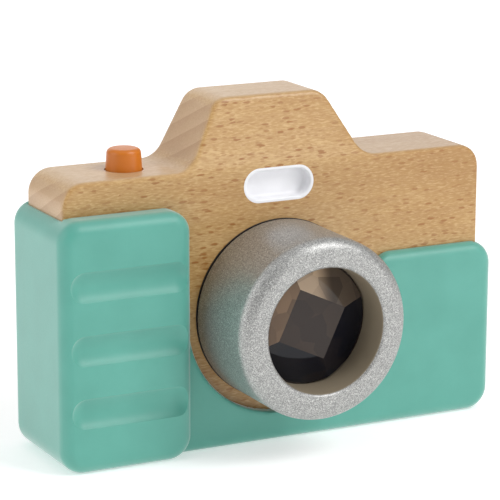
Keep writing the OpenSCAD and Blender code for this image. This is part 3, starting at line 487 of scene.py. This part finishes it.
def sleeve_distance(x, y, z):
    """Panel, grip and back wall joined softly; less the windows with small rounded lips; less the
    block's own room."""
    low_left = (-SLEEVE_SIDE, 0)
    panel = rounded_box(x, z, low_left, (SLEEVE_SIDE, PANEL_TOP), CORNER_R, CORNER_R)
    panel = rounded_meet(panel, np.abs(y) - SLEEVE_FACE, SLEEVE_EDGE_R)
    grip = rounded_box(x, z, low_left, (GRIP_RIGHT, GRIP_TOP), CORNER_R, SHOULDER_R)
    grip = rounded_meet(grip, np.maximum(GRIP_FACE - y, y - SLEEVE_FACE), GRIP_EDGE_R)
    wall = rounded_box(x, z, low_left, (0, GRIP_TOP), CORNER_R, SHOULDER_R)
    wall = rounded_meet(wall, np.maximum(-y, y - SLEEVE_FACE), SLEEVE_EDGE_R)
    inner_corner = (x > GRIP_RIGHT - 1) & (y < 0) & (z > 1.5)
    front = np.where(inner_corner, rounded_join(panel, grip, LIP_R), np.minimum(panel, grip))
    skin = np.minimum(front, wall)
    ahead, behind = y + WOOD_FACE - 1, WOOD_FACE - 1 - y
    lens_window = np.minimum(open_window(x, z, LENS_WINDOW_R, -GRIP_RIGHT),
                             corner_waste(x, z, LENS_WINDOW_R, PANEL_TOP, SHOULDER_R, 1))
    lip = LIP_R * np.clip((LENS_WINDOW_R + SHOULDER_R - x) / 4, 0.1, 1)
    skin = rounded_meet(skin, -np.maximum(lens_window, ahead), lip)
    eye_window = np.minimum(open_window(x, z, EYE_WINDOW_R, EYE_WINDOW_R),
                            corner_waste(x, z, EYE_WINDOW_R, PANEL_TOP, SHOULDER_R, 1))
    eye_window = np.minimum(eye_window, corner_waste(x, z, -EYE_WINDOW_R, GRIP_TOP, SHOULDER_R, -1))
    lip = LIP_R * np.clip((EYE_WINDOW_R + SHOULDER_R - np.abs(x)) / 4, 0.1, 1)
    skin = rounded_meet(skin, -np.maximum(eye_window, behind), lip)
    door_window = rounded_box(x, z, (-57.85, 10.4), (-32.15, 53.7), 3, 3)
    skin = rounded_meet(skin, -np.maximum(door_window, behind), LIP_R)
    room = np.maximum(rounded_box(x, y, (-WOOD_SIDE, -WOOD_FACE), (WOOD_SIDE, WOOD_FACE), 1, 1) - 0.05,
                      WOOD_FOOT - z)
    return np.maximum(skin, -room)


def scoop(z):
    """Bar along X with round ends, whose far side is the grip's hollow: at an angle round its end, a
    ring's radius is the bar's by the sine and its step past the end the bar's by the cosine."""
    end = np.linspace(0.02, np.pi / 2, 16)
    left, right = -60.6, GRIP_RIGHT - 5.2
    turn = np.linspace(0, 2 * np.pi, CIRCLE, endpoint=False)
    circle = SCOOP_R * np.stack([0 * turn, np.cos(turn), np.sin(turn)], 1)
    places = [(left - SCOOP_R * np.cos(a), np.sin(a)) for a in end]
    places += [(right + SCOOP_R * np.cos(a), np.sin(a)) for a in end[::-1]]
    return loft([circle * share + (x, GRIP_FACE - SCOOP_AHEAD, z) for x, share in places])


sleeve = mesh_piece("silicone_skin", *zero_surface(
    sleeve_distance, (-69.7, -23.3, -2.6), (69.7, 19.2, 71.3)))
cut(sleeve, *[scoop(z) for z in SCOOP_HEIGHTS])
silicone = material("silicone", Specular_IOR_Level=0.8, Sheen_Weight=0.9, Sheen_Roughness=0.4,
                    Subsurface_Weight=0.1, Subsurface_Scale=0.002, Subsurface_Radius=(0.6, 1.0, 0.9))
cloud = noise(silicone, (90, 90, 90), 3.0)
grain = noise(silicone, (2600, 2600, 2600), 2.0)
shade(silicone, Base_Color=tones(silicone, cloud, [(0.3, paint(74, 158, 142)), (0.7, paint(82, 166, 150))]),
      Roughness=steep(silicone, grain, 0.2, 0.8, 0.42, 0.54), Normal=relief(silicone, grain, 0.012))
fit(sleeve, silicone, "body", "silicone", "silicone_sleeve")


# Lens bearing: a black nylon bush pressed into the block, whose thin flange shows round the barrel,
# and a felt washer behind it that gives the turning barrel its drag.
def turned(profile, x=0.0, z=LENS_Z, steps=CIRCLE, upright=False):
    """Closed profile of radius and distance ahead, turned about the lens axis, or of radius and
    height, turned about an upright one. Points on the axis are drawn together into one."""
    profile = np.asarray(profile, float)
    turn = np.linspace(0, 2 * np.pi, steps, endpoint=False)[None]
    r, along = profile[:, :1], np.repeat(profile[:, 1:], steps, 1)
    side, up = r * np.cos(turn), r * np.sin(turn)
    points = np.stack([x + side, up, along] if upright else [x + side, -along, z + up], 2)
    faces = grid_faces(len(profile), steps, True)
    points = points.reshape(-1, 3)
    first = np.where(np.repeat(profile[:, 0] > 1e-6, steps), np.arange(len(points)),
                     np.arange(len(points)) // steps * steps)
    used, name = np.unique(first, return_inverse=True)
    rings = [list(dict.fromkeys(name[f])) for f in faces]
    return points[used], [f for f in rings if len(f) > 2]


def moulded_plastic(name, tone, rough):
    """Moulded plastic: a faint broad cloud in its tone and a fine spark-eroded grain."""
    made = material(name)
    cloud = noise(made, (90, 90, 90), 3.0)
    lighter = tuple(min(1.0, c * 1.08) for c in tone[:3]) + (1.0,)
    grain = noise(made, (4200,) * 3, 2.0)
    shade(made, Base_Color=blend(made, steep(made, cloud, 0.35, 0.65), tone, lighter),
          Roughness=steep(made, grain, 0.3, 0.7, rough - 0.05, rough + 0.06),
          Normal=relief(made, grain, 0.01))
    return made


def dress(finish, *nodes, bevel=0.0):
    """Gives parts that keep their own mesh a finish, and breaks their edges where a width is named."""
    for name in nodes:
        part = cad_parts[name]
        part.data.materials.clear()
        part.data.materials.append(finish)
        if bevel:
            weld = part.modifiers.new("weld", "WELD")
            weld.merge_threshold = 1e-6
            edge = part.modifiers.new("edge", "BEVEL")
            edge.width, edge.segments, edge.angle_limit = bevel * MM, 2, np.radians(40)
            edge.harden_normals = True


black_plastic = moulded_plastic("black_plastic", paint(26, 27, 33), 0.42)
dress(black_plastic, "bearing_bush", "lens_spacer")
felt_washer = mesh_piece("felt_washer", *turned(rounded_outline(
    [(13.6, -4.5), (15.4, -4.5), (15.4, -4), (13.6, -4)], [0.2] * 4, 5)))
felt = material("felt", Roughness=0.95, Sheen_Weight=0.4)
nap = noise(felt, (3000, 3000, 3000), 4.0)
shade(felt, Base_Color=tones(felt, nap, [(0.3, paint(88, 86, 84)), (0.7, paint(132, 130, 127))]),
      Normal=relief(felt, nap, 0.08))
fit(felt_washer, felt, "body", "felt", "friction_washer")


# Lens barrel: a turned plastic ring sprayed with coarse silver paint, its front rim well rounded.
# A hub screwed in from behind holds the lens and spacer, and turns in the bush.
(_, barrel_face, _), (BARREL_R, barrel_back, _) = span("lens_barrel")
BARREL_REAR, BARREL_FRONT = -barrel_back, -barrel_face
LENS_SEAT = BARREL_FRONT - 11.5
HUB_FACE = BARREL_REAR + 2.5
HUB_ROOM_R = 24.2
LENS_ROOM_R = 20.1
MOUTH_R = 17.2
barrel = mesh_piece("silver_barrel", *turned(rounded_outline(
    [(HUB_ROOM_R, BARREL_REAR), (BARREL_R, BARREL_REAR), (BARREL_R, BARREL_FRONT), (MOUTH_R, BARREL_FRONT),
     (MOUTH_R, LENS_SEAT), (LENS_ROOM_R, LENS_SEAT), (LENS_ROOM_R, HUB_FACE), (HUB_ROOM_R, HUB_FACE)],
    [0.2, 0.3, 4, 1, 0.2, 0, 0, 0], 14), steps=160))
barrel.data.set_sharp_from_angle(angle=np.radians(35))
silver_paint = material("silver_paint", Metallic=0.65)
flake = silver_paint.node_tree.nodes.new("ShaderNodeTexVoronoi")
set_sockets(silver_paint, flake, {"Vector": where(silver_paint, (6000, 6000, 6000)), "Scale": 1.0})
glint = node(silver_paint, "SeparateColor", _0=flake.outputs["Color"])
shade(silver_paint, Base_Color=tones(silver_paint, glint, [
    (0.0, paint(132, 132, 131)), (0.6, paint(163, 163, 161)), (1.0, paint(216, 216, 213))]),
      Roughness=steep(silver_paint, glint, 0.0, 1.0, 0.36, 0.46),
      Normal=relief(silver_paint, sum_of(silver_paint, "ADD", glint, flake.outputs["Distance"]), 0.008))
fit(barrel, silver_paint, "lens", "silver_paint", "lens_barrel")
bore_paint = moulded_plastic("bore_paint", paint(150, 138, 118), 0.4)
barrel.data.materials.append(bore_paint)
middle = np.array([face.center for face in barrel.data.polygons]) / MM
in_bore = np.hypot(middle[:, 0], middle[:, 2] - LENS_Z) < MOUTH_R + 0.1
barrel.data.polygons.foreach_set("material_index", in_bore.astype(np.int32))
hub_plastic = moulded_plastic("hub_plastic", paint(58, 60, 64), 0.45)
dress(hub_plastic, "barrel_hub", "barrel_retainer")


# Prism lens: a smoky acrylic disc with four flat facets polished round a square table, so that the
# eye sees the room in pieces. It drops into the barrel from behind.
LENS_R = 20.0
LENS_FLANGE_T = 2.0
CROWN_H = 3.0
CROWN_R = 16.6
CROWN_STEP = 0.5
TABLE_HALF = 7.5
FACET_TURN = np.radians(65.0)


def facet_waste(turn):
    """Block above one facet: a plane through the table's edge that falls to the crown's step at its
    rim, with everything over it."""
    slope = (CROWN_H - CROWN_STEP) / (CROWN_R - TABLE_HALF)
    out = np.array([TABLE_HALF - 3, TABLE_HALF + 18, TABLE_HALF + 18, TABLE_HALF - 3])
    ahead = LENS_SEAT + CROWN_H + np.array([3 * slope, -18 * slope, 9, 9])
    ring = [np.stack([out * np.cos(turn) - side * np.sin(turn), -ahead, LENS_Z + out * np.sin(turn)
                      + side * np.cos(turn)], 1) for side in (30, -30)]
    return loft(ring)


lens = mesh_piece("faceted_lens", *turned(
    [(0, LENS_SEAT - LENS_FLANGE_T), (LENS_R, LENS_SEAT - LENS_FLANGE_T), (LENS_R, LENS_SEAT),
     (CROWN_R, LENS_SEAT), (CROWN_R, LENS_SEAT + CROWN_H), (0, LENS_SEAT + CROWN_H)]))
cut(lens, *[facet_waste(FACET_TURN + i * np.pi / 2) for i in range(4)])
lens.data.set_sharp_from_angle(angle=np.radians(10))
smoky_acrylic = material("smoky_acrylic", Roughness=0.06, IOR=1.49, Transmission_Weight=0.15,
                         Specular_IOR_Level=0.3)
# Painted light: the lens's colour is set by which way each facet faces, pale tan on facets that face up and
# dark navy on those that face down, standing in for the light and reflections seen in it.
tilt_up = facing(smoky_acrylic, 2)
lift = node(smoky_acrylic, "Math", {"operation": "MULTIPLY_ADD"},
            _0=facing(smoky_acrylic, 0), _1=0.1, _2=tilt_up)
facet_painted_light = tones(smoky_acrylic, steep(smoky_acrylic, lift, -0.28, 0.28), [
    (0.30, paint(16, 18, 28)), (0.48, paint(50, 41, 38)),
    (0.76, paint(144, 117, 92)), (0.92, paint(208, 182, 154))])
# Painted shade: the upward facets are darkened towards the right.
sideways = node(smoky_acrylic, "SeparateXYZ", _0=where(smoky_acrylic, (1, 1, 1)))
painted_shade_right = sum_of(smoky_acrylic, "MULTIPLY", steep(smoky_acrylic, sideways, 1 * MM, 7 * MM, 0.0, 0.85),
                  steep(smoky_acrylic, tilt_up, 0.05, 0.2))
facet_painted_light = blend(smoky_acrylic, painted_shade_right, facet_painted_light, paint(44, 37, 36))
# Painted reflection: random dark patches over the facets stand in for what the lens reflects.
painted_reflection_cells = smoky_acrylic.node_tree.nodes.new("ShaderNodeTexVoronoi")
set_sockets(smoky_acrylic, painted_reflection_cells, {
    "Vector": where(smoky_acrylic, (170, 40, 170), (0, 0.5, 0)), "Scale": 1.0})
painted_reflection_mask = node(smoky_acrylic, "SeparateColor", _0=painted_reflection_cells.outputs["Color"])
facet_painted_light = blend(smoky_acrylic, steep(smoky_acrylic, painted_reflection_mask, 0.3, 1.0, 0.0, 0.5),
                   facet_painted_light, paint(40, 34, 34))
shade(smoky_acrylic, Base_Color=facet_painted_light)
fit(lens, smoky_acrylic, "lens", "smoky_acrylic", "prism_lens")


# Eyepiece: a black ring pressed into the back of the block round a clear disc, to look through the
# turning lens.
RIM_R = 18.0
PEEPHOLE_R = 6.5
DISC_ROOM_R = 9.0
eyepiece_profile = [
    (PEEPHOLE_R, -1.5), (RIM_R, -1.5), (RIM_R, 0), (EYEPIECE_SEAT_R, 0), (EYEPIECE_SEAT_R, 3.5),
    (DISC_ROOM_R, 3.5), (DISC_ROOM_R, 1.7), (PEEPHOLE_R, 1.7)]
eyepiece = mesh_piece("eyepiece", *turned(rounded_outline(
    np.array(eyepiece_profile) - (0, WOOD_FACE), [1.2, 0.9, 0.2, 0.1, 0.3, 0.1, 0, 0], 8)))
eyepiece.data.set_sharp_from_angle(angle=np.radians(35))
eyepiece_plastic = moulded_plastic("eyepiece_plastic", paint(44, 45, 50), 0.38)
fit(eyepiece, eyepiece_plastic, "body", "eyepiece_plastic", "eyepiece_ring")
clear_acrylic = material("clear_acrylic", Base_Color=(0.96, 0.98, 0.98, 1), IOR=1.49,
                         Transmission_Weight=1.0)
haze = noise(clear_acrylic, (900, 900, 900), 2.0)
shade(clear_acrylic, Roughness=steep(clear_acrylic, haze, 0.3, 0.8, 0.01, 0.06))
dress(clear_acrylic, "eyepiece_window")


# Flash window: a white cup of thin plastic let flush into the block's face, with a socket behind its
# floor that holds the lamp.
def cup_ring(inset, depth):
    """Pill drawn in by an inset, at a depth behind the block's face."""
    return across(pill_outline(FLASH_W - 2 * inset, FLASH_H - 2 * inset, FLASH_Z), depth - WOOD_FACE)


fillet = np.linspace(0, np.pi / 2, 7)
flash_cup = mesh_piece("flash_cup", *loft(
    [cup_ring(4.2, 3.2), cup_ring(2.4, 3.2)]
    + [cup_ring(2.0 - np.sin(a), 2.2 + np.cos(a)) for a in fillet]
    + [cup_ring(0.5 + 0.5 * np.cos(a), 0.5 - 0.5 * np.sin(a)) for a in fillet]
    + [cup_ring(0.05, 0), cup_ring(0, 0.05), cup_ring(0, 4.7)]))
SOCKET_BORE_R = 2.55
SOCKET_R = 3.35
socket_end = WOOD_FACE - FLASH_DEEP
socket_root = socket_end + 4.15
cut(flash_cup, turned(
    [(SOCKET_BORE_R, socket_end), (SOCKET_R, socket_end), (SOCKET_R, socket_root),
     (SOCKET_BORE_R, socket_root)], z=FLASH_Z), how="UNION")
white_plastic = moulded_plastic("white_plastic", paint(238, 238, 241), 0.35)
fit(flash_cup, white_plastic, "body", "white_plastic", "flash_window")
lamp_epoxy = material("lamp_epoxy", Base_Color=(1.0, 0.97, 0.86, 1), Roughness=0.1, Transmission_Weight=0.6)
shade(lamp_epoxy, Roughness=steep(lamp_epoxy, noise(lamp_epoxy, (700, 700, 700)), 0.3, 0.7, 0.06, 0.16))
dress(lamp_epoxy, "flash_led")


# Shutter button: an orange moulded cap on a flange and stem. A coiled spring under the flange holds
# it up, and the stem's end pushes the switch.
STEM_R = 2.8
STEM_END = 60.7
FLANGE_R = 6.5
FLANGE_LOW = 69.5
FLANGE_TOP = 71.1
CAP_FOOT_R = 4.95
CAP_TOP_R = 4.55
CAP_TOP = 83.0
button = mesh_piece("orange_button", *turned(rounded_outline(
    [(0, STEM_END), (STEM_R, STEM_END), (STEM_R, FLANGE_LOW), (FLANGE_R, FLANGE_LOW), (FLANGE_R, FLANGE_TOP),
     (CAP_FOOT_R, FLANGE_TOP), (CAP_FOOT_R, SHOULDER_Z), (CAP_TOP_R, CAP_TOP), (0, CAP_TOP)],
    [0, 0.3, 0.2, 0.3, 0.3, 0.1, 0, 1.4, 0], 10), x=BUTTON_X, upright=True))
button.data.set_sharp_from_angle(angle=np.radians(35))
orange_plastic = moulded_plastic("orange_plastic", paint(201, 112, 20), 0.34)
fit(button, orange_plastic, "button", "orange_plastic", "shutter_button")


def helix(r, low, high, turns):
    """Even coil about the upright axis, 24 points to a turn."""
    angle = np.linspace(0, 2 * np.pi * turns, 24 * turns + 1)
    return np.stack([r * np.cos(angle), r * np.sin(angle), np.linspace(low, high, len(angle))], 1)


def metal(name, tone, rough, streak=(600.0, 600.0, 600.0)):
    """Plated metal: a faint streak in its tone and its polish."""
    made = material(name, Metallic=1.0)
    wear = noise(made, streak, 4.0, 0.6)
    darker = tuple(c * 0.8 for c in tone[:3]) + (1.0,)
    shade(made, Base_Color=blend(made, steep(made, wear, 0.35, 0.7), tone, darker),
          Roughness=steep(made, wear, 0.3, 0.7, rough - 0.06, rough + 0.08),
          Normal=relief(made, wear, 0.006))
    return made


spring_steel = metal("spring_steel", paint(196, 198, 202), 0.28)
SPRING_R = 4.3
SPRING_WIRE_R = 0.4
SPRING_SEAT = 60.0
SPRING_TURNS = 5
spring_path = helix(SPRING_R, SPRING_SEAT + SPRING_WIRE_R, FLANGE_LOW - SPRING_WIRE_R, SPRING_TURNS)
spring = mesh_piece("return_spring", *tube(
    spring_path + (BUTTON_X, 0, 0), SPRING_WIRE_R, (0, 0, 1), 12))
fit(spring, spring_steel, "body", "spring_steel", "button_spring")
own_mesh(spring)
switch_plastic = moulded_plastic("switch_plastic", paint(70, 72, 76), 0.5)
dress(switch_plastic, "push_switch", bevel=0.2)
dress(white_plastic, "switch_plunger", bevel=0.2)


# Sound module: a grey tray in the block's pocket with a green board, its chip, capacitor and
# resistor, a small speaker, and red hook-up wires to the speaker and the lamp.
grey_plastic = moulded_plastic("grey_plastic", paint(206, 207, 206), 0.45)
dress(grey_plastic, "module_tray")
board_green = material("board_green", Roughness=0.4, Coat_Weight=0.3)
tracks = node(board_green, "TexBrick", Vector=where(board_green, (1, 1, 1), (np.pi / 2, 0, 0)), Scale=220.0,
              Mortar_Size=0.06, Color1=paint(26, 84, 52), Color2=paint(22, 74, 46),
              Mortar=paint(58, 122, 74))
lacquer = noise(board_green, (900, 900, 900))
shade(board_green, Base_Color=tracks, Roughness=steep(board_green, lacquer, 0.3, 0.7, 0.34, 0.46))
dress(board_green, "circuit_board")
chip_epoxy = moulded_plastic("chip_epoxy", paint(30, 30, 32), 0.55)
dress(chip_epoxy, "sound_chip", bevel=0.2)
capacitor_sleeve = moulded_plastic("capacitor_sleeve", paint(32, 40, 74), 0.3)
dress(capacitor_sleeve, "capacitor", bevel=0.3)
resistor_body = moulded_plastic("resistor_body", paint(196, 168, 128), 0.5)
dress(resistor_body, "led_resistor", bevel=0.1)
speaker_metal = metal("speaker_metal", paint(120, 122, 126), 0.4)
dress(speaker_metal, "speaker", bevel=0.3)


def smooth_path(points, steps=8):
    """Curve through points: each span is a cubic whose end slopes follow the points on either side."""
    p = np.asarray(points, float)
    p = np.concatenate([2 * p[:1] - p[1:2], p, 2 * p[-1:] - p[-2:-1]])
    a, b, c, d = p[:-3, None], p[1:-2, None], p[2:-1, None], p[3:, None]
    t = np.linspace(0, 1, steps, endpoint=False)[:, None]
    curve = b + t / 2 * (c - a + t * (2 * a - 5 * b + 4 * c - d + t * (3 * (b - c) + d - a)))
    return np.concatenate([curve.reshape(-1, 3), p[-2:-1]])


def joined(shapes):
    """Points and faces of several closed shapes as one."""
    points, faces, start = [], [], 0
    for shape_points, shape_faces in shapes:
        points.append(shape_points)
        faces += [[i + start for i in face] for face in shape_faces]
        start += len(shape_points)
    return np.concatenate(points), faces


WIRE_R = 0.5
DUCT_RUN = (DUCT_TO - DUCT_FROM) / np.linalg.norm(DUCT_TO - DUCT_FROM)


def lamp_wire(side):
    """From a lamp lead, down the duct and onto the board's face."""
    lead = np.array([side * 1.27, 9.7 - WOOD_FACE, FLASH_Z])
    lane = np.array([0, side * 0.85, 0])
    pad = np.array([-35.35 + side * 0.72, 3.5, 55.0])
    route = [lead, lead + (0, 0.5, 0), lead + (-0.3, 1.1, -0.1), DUCT_FROM + DUCT_RUN * 4 + lane,
             DUCT_TO - DUCT_RUN * 2 + lane, DUCT_TO + lane, pad + (0, -1.7, 1.8), pad + (0, -0.9, 0.3),
             pad + (0, -0.5, 0), pad]
    return tube(smooth_path(route), WIRE_R, (-DUCT_RUN[2], 0, DUCT_RUN[0]))


def speaker_wire(side):
    """From the board's back up to the speaker."""
    foot = np.array([POCKET_X + side * 1.6, 4.7, 38.7])
    rise = WOOD_FACE - 9.7
    route = [foot + step for step in ((0, 0, 0), (0, rise * 0.2, 0), (side * 0.3, rise * 0.4, 0.8),
                                      (side * 0.3, rise * 0.6, 2.2), (0, rise * 0.8, 3), (0, rise, 3))]
    return tube(smooth_path(route), WIRE_R, (1, 0, 0))


wire_insulation = moulded_plastic("wire_insulation", paint(168, 36, 32), 0.4)
for name, wire, part in (("lamp_wires", lamp_wire, "led_wires"),
                         ("speaker_leads", speaker_wire, "speaker_wires")):
    pair = mesh_piece(name, *joined([wire(-1), wire(1)]))
    fit(pair, wire_insulation, "body", "wire_insulation", part)


# Battery bay: three button cells in a row between a flat contact and a coiled one, both of plated
# spring sheet with legs soldered to the board.
cell_steel = metal("cell_steel", paint(202, 202, 200), 0.24)
dress(cell_steel, "button_cells", bevel=0.3)
contact_metal = metal("contact_metal", paint(206, 196, 160), 0.3)
dress(contact_metal, "battery_plate", bevel=0.1)


def sheet_box(x0, x1, y0, y1, z0, z1):
    """Piece of sheet metal between two corners, its corners seen from the front lightly rounded."""
    return prism(box_outline(x0, z0, x1, z1, 0.1), y0, y1)


CELL_Y = WOOD_FACE - 7.9
CELL_Z = 17.5
BAY_LEFT = -54.975
CONTACT_HALF = 4.06
CONTACT_T = 0.4
COIL_WIRE_R = 0.3
coil = helix(3.0, CONTACT_T, 2.9, 2)
coil = np.stack([BAY_LEFT + coil[:, 2], CELL_Y + coil[:, 1], CELL_Z - coil[:, 0]], 1)
coil_contact = mesh_piece("coil_contact", *joined([
    sheet_box(BAY_LEFT, BAY_LEFT + CONTACT_T, CELL_Y - CONTACT_HALF, CELL_Y + CONTACT_HALF,
              CELL_Z - CONTACT_HALF, 24.3),
    sheet_box(BAY_LEFT, BAY_LEFT + 2, 4.7, 4.7 + CONTACT_T, 23.9, 35.1),
    tube(coil, COIL_WIRE_R, (1, 0, 0), 12)]))
fit(coil_contact, contact_metal, "body", "contact_metal", "battery_spring")


# Back cover and battery door: plates of grey plastic screwed into the back of the block, with holes
# for the sound and pan-head screws in counterbores.
dress(grey_plastic, "back_cover", "battery_door", bevel=0.25)
zinc_steel = metal("zinc_steel", paint(188, 190, 194), 0.3)
dress(zinc_steel, "back_cover_screws", "battery_door_screws", "board_screws", "hub_screws",
      "retainer_screws", bevel=0.12)


# Floor, lights and camera: a pale floor under broad soft lights at the left, above, behind and in
# front, seen from where the photograph was taken.
FLOOR_HALF = 4000
floor = mesh_piece("floor", FLOOR_HALF * np.array(
    [(-1, -1, 0), (1, -1, 0), (1, 1, 0), (-1, 1, 0)]), [(0, 1, 2, 3)])
floor_white = material("floor_white", Base_Color=(0.82, 0.82, 0.82, 1), Roughness=0.9,
                       Emission_Color=(1, 1, 1, 1), Emission_Strength=0.42)
floor.data.materials.append(floor_white)

world = bpy.data.worlds.new("studio")
world.use_nodes = True
world.node_tree.nodes["Background"].inputs["Color"].default_value = (1, 1, 1, 1)
world.node_tree.nodes["Background"].inputs["Strength"].default_value = 0.42
bpy.context.scene.world = world


def softbox(name, place, target, size, power):
    """Square area light that looks at a point."""
    light = bpy.data.lights.new(name, "AREA")
    light.size, light.energy = size, power
    holder = bpy.data.objects.new(name, light)
    holder.location = place
    holder.rotation_euler = (Vector(target) - Vector(place)).to_track_quat("-Z", "Y").to_euler()
    bpy.context.scene.collection.objects.link(holder)


softbox("left_light", (-1.7, 0.2, 0.8), (0, 0, 0.04), 1.6, 10.8)
softbox("top_light", (0.0, 0.0, 1.7), (0, 0, 0.04), 1.6, 3.8)
softbox("back_light", (0.3, 1.9, 0.7), (0, 0, 0.04), 2.0, 9)
softbox("key_light", (0.95, -1.1, 1.5), (0, 0, 0.04), 0.9, 20)
softbox("front_card", (1.0, -1.85, 0.68), (0, 0, 0.06), 0.5, 2.5)
softbox("side_card", (0.22, -0.3, 0.08), (0.05, 0, 0.03), 0.16, 0.06)

eye = Vector((-0.3085, -0.5977, 0.2137))
ahead = (Vector((-0.0003, -0.00207, 0.04467)) - eye).normalized()
right = ahead.cross(Vector((0, 0, 1))).normalized()
roll = Matrix.Rotation(np.radians(-0.24), 3, ahead)
right = roll @ right
above = right.cross(ahead)
optics = bpy.data.cameras.new("camera")
optics.lens, optics.sensor_width = 180.14, 36.0
optics.shift_x, optics.shift_y = -0.0215, 0.045
camera = bpy.data.objects.new("camera", optics)
camera.matrix_world = Matrix((right, above, -ahead)).transposed().to_4x4()
camera.location = eye
bpy.context.scene.collection.objects.link(camera)
bpy.context.scene.camera = camera
bpy.context.scene.view_settings.view_transform = "Standard"
